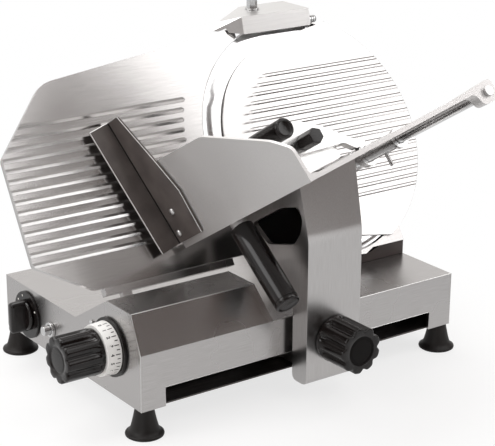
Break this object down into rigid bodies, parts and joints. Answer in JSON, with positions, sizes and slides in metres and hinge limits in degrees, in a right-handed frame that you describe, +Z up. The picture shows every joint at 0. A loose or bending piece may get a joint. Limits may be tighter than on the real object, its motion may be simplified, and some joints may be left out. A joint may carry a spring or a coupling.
{
  "type": "gravity feed meat slicer",
  "caption": "Gravity-feed meat slicer with a slanted round blade and ribbed cover, ribbed gauge plate, tilted product tray with press arm on a sliding column, and a numbered thickness knob.",
  "frame": {"origin": "centre of the outer box on the ground plane under the feet", "axes": "+X along the carriage travel from the dial end to the blade end, +Y from the carriage side to the motor side, +Z up"},
  "size_m": [0.576, 0.438, 0.3996],
  "materials": {
    "satin_aluminium": "satin, fine brushed",
    "polished_aluminium": "polished",
    "blade_steel": "ground and polished",
    "bright_steel": "bright turned",
    "black_plastic": "satin moulded",
    "black_rubber": "matte moulded",
    "white_plastic": "satin with printed black scale",
    "dark_steel": "dull rolled",
    "bronze": "sintered",
    "grinding_grit": "gritty abrasive, stands in for bonded grit",
    "motor_paint": "matt paint"
  },
  "bodies": {
    "base": {"base_housing": "satin_aluminium", "bottom_plate": "dark_steel", "foot_1": "black_rubber", "foot_2": "black_rubber", "foot_3": "black_rubber", "foot_4": "black_rubber", "guide_rod": "bright_steel", "roller_rail": "dark_steel", "dial_bezel": "black_plastic", "index_marker": "bright_steel", "face_screw": "dark_steel", "switch_plate": "black_plastic", "switch_body": "black_plastic", "button_bezel": "bright_steel", "button_switch": "black_plastic", "gauge_guide_rod": "bright_steel", "blade_housing": "satin_aluminium", "housing_pedestal": "motor_paint", "bearing_front": "bright_steel", "bearing_rear": "bright_steel", "belt": "black_rubber", "motor": "motor_paint", "pulley_cover": "satin_aluminium", "motor_cover": "satin_aluminium", "blade_cover": "polished_aluminium", "sharpener_post": "bright_steel"},
    "carriage": {"carriage_column": "satin_aluminium", "bush_left": "bronze", "bush_right": "bronze", "product_tray": "polished_aluminium", "hand_guard": "black_plastic", "guard_rivet_1": "bright_steel", "guard_rivet_2": "bright_steel", "push_handle": "black_plastic", "press_rod": "bright_steel", "press_rod_bolt": "bright_steel"},
    "carriage_roller": {"roller": "black_plastic"},
    "carriage_knob": {"column_knob": "black_plastic"},
    "press_sleeve": {"press_slider": "bright_steel"},
    "meat_press": {"press_arm": "satin_aluminium", "press_plate": "satin_aluminium", "press_handle": "black_plastic"},
    "press_lock": {"press_knob": "black_plastic"},
    "thickness_dial": {"thickness_knob": "black_plastic", "dial_drum": "white_plastic", "thickness_shaft": "bright_steel", "thickness_cam": "dark_steel"},
    "gauge": {"gauge_plate": "polished_aluminium", "gauge_carrier": "satin_aluminium"},
    "switch": {"switch_knob": "black_plastic"},
    "button": {"button_cap": "bright_steel"},
    "blade_rotor": {"blade": "blade_steel", "blade_shaft": "bright_steel", "blade_pulley": "dark_steel"},
    "motor_rotor": {"motor_pulley": "dark_steel"},
    "sharpener": {"sharpener_body": "satin_aluminium", "stone_button": "bright_steel"},
    "sharpener_clamp": {"sharpener_knob": "bright_steel"},
    "sharpener_stone": {"grinding_stone": "grinding_grit"},
    "cover_tie_rod": {"tie_rod": "bright_steel"}
  },
  "joints": [
    {"name": "carriage_slide", "type": "slide", "parent": "base", "child": "carriage", "axis": [1, 0, 0], "range_m": [-0.14, 0.12]},
    {"name": "carriage_roller_spin", "type": "hinge", "parent": "carriage", "child": "carriage_roller", "pos_m": [0.0115, -0.0105, 0.0448], "axis": [0, 1, 0], "range_deg": [-1100, 950]},
    {"name": "carriage_knob_turn", "type": "hinge", "parent": "carriage", "child": "carriage_knob", "pos_m": [0.013, -0.1525, 0.074], "axis": [0, 1, 0], "range_deg": [-180, 180]},
    {"name": "press_slide", "type": "slide", "parent": "carriage", "child": "press_sleeve", "axis": [0, -0.8572, 0.515], "range_m": [0, 0.148]},
    {"name": "press_swing", "type": "hinge", "parent": "press_sleeve", "child": "meat_press", "pos_m": [0.17022, 0.01135, 0.22712], "axis": [0, 0.8572, -0.515], "range_deg": [0, 110]},
    {"name": "press_lock_turn", "type": "hinge", "parent": "meat_press", "child": "press_lock", "pos_m": [0.08111, 0.01133, 0.26048], "axis": [0, -0.8572, 0.515], "range_deg": [-180, 180]},
    {"name": "thickness_turn", "type": "hinge", "parent": "base", "child": "thickness_dial", "pos_m": [-0.261, -0.0345, 0.087], "axis": [1, 0, 0], "range_deg": [0, 300]},
    {"name": "gauge_slide", "type": "slide", "parent": "base", "child": "gauge", "axis": [0, 0.8572, -0.515], "range_m": [0, 0.015]},
    {"name": "switch_turn", "type": "hinge", "parent": "base", "child": "switch", "pos_m": [-0.236, 0.1545, 0.062], "axis": [1, 0, 0], "range_deg": [0, 90]},
    {"name": "button_press", "type": "slide", "parent": "base", "child": "button", "axis": [1, 0, 0], "range_m": [0, 0.003], "stiffness_N_per_m": 300, "springref_m": -0.001},
    {"name": "blade_spin", "type": "hinge", "parent": "base", "child": "blade_rotor", "pos_m": [0.131, 0.09629, 0.22712], "axis": [0, -0.8572, 0.515], "continuous": true},
    {"name": "motor_spin", "type": "hinge", "parent": "base", "child": "motor_rotor", "pos_m": [0.131, 0.06879, 0.13282], "axis": [0, -0.8572, 0.515], "continuous": true},
    {"name": "sharpener_lift", "type": "slide", "parent": "base", "child": "sharpener", "axis": [0, 0, 1], "range_m": [0, 0.02]},
    {"name": "sharpener_clamp_turn", "type": "hinge", "parent": "sharpener", "child": "sharpener_clamp", "pos_m": [0.113, 0.1718, 0.393], "axis": [0, 0, 1], "range_deg": [-180, 180]},
    {"name": "sharpener_stone_spin", "type": "hinge", "parent": "sharpener", "child": "sharpener_stone", "pos_m": [0.147, 0.16687, 0.37371], "axis": [0, -0.8572, 0.515], "continuous": true},
    {"name": "tie_rod_turn", "type": "hinge", "parent": "base", "child": "cover_tie_rod", "pos_m": [0.131, 0.14343, 0.1988], "axis": [0, -0.8572, 0.515], "range_deg": [-360, 360]}
  ],
  "couplings": [
    {"joint": "carriage_roller_spin", "follows": "carriage_slide", "rad_per_m": 133.33},
    {"joint": "gauge_slide", "follows": "thickness_turn", "m_per_rad": 0.002864},
    {"joint": "motor_spin", "follows": "blade_spin", "ratio": 3.125}
  ]
}
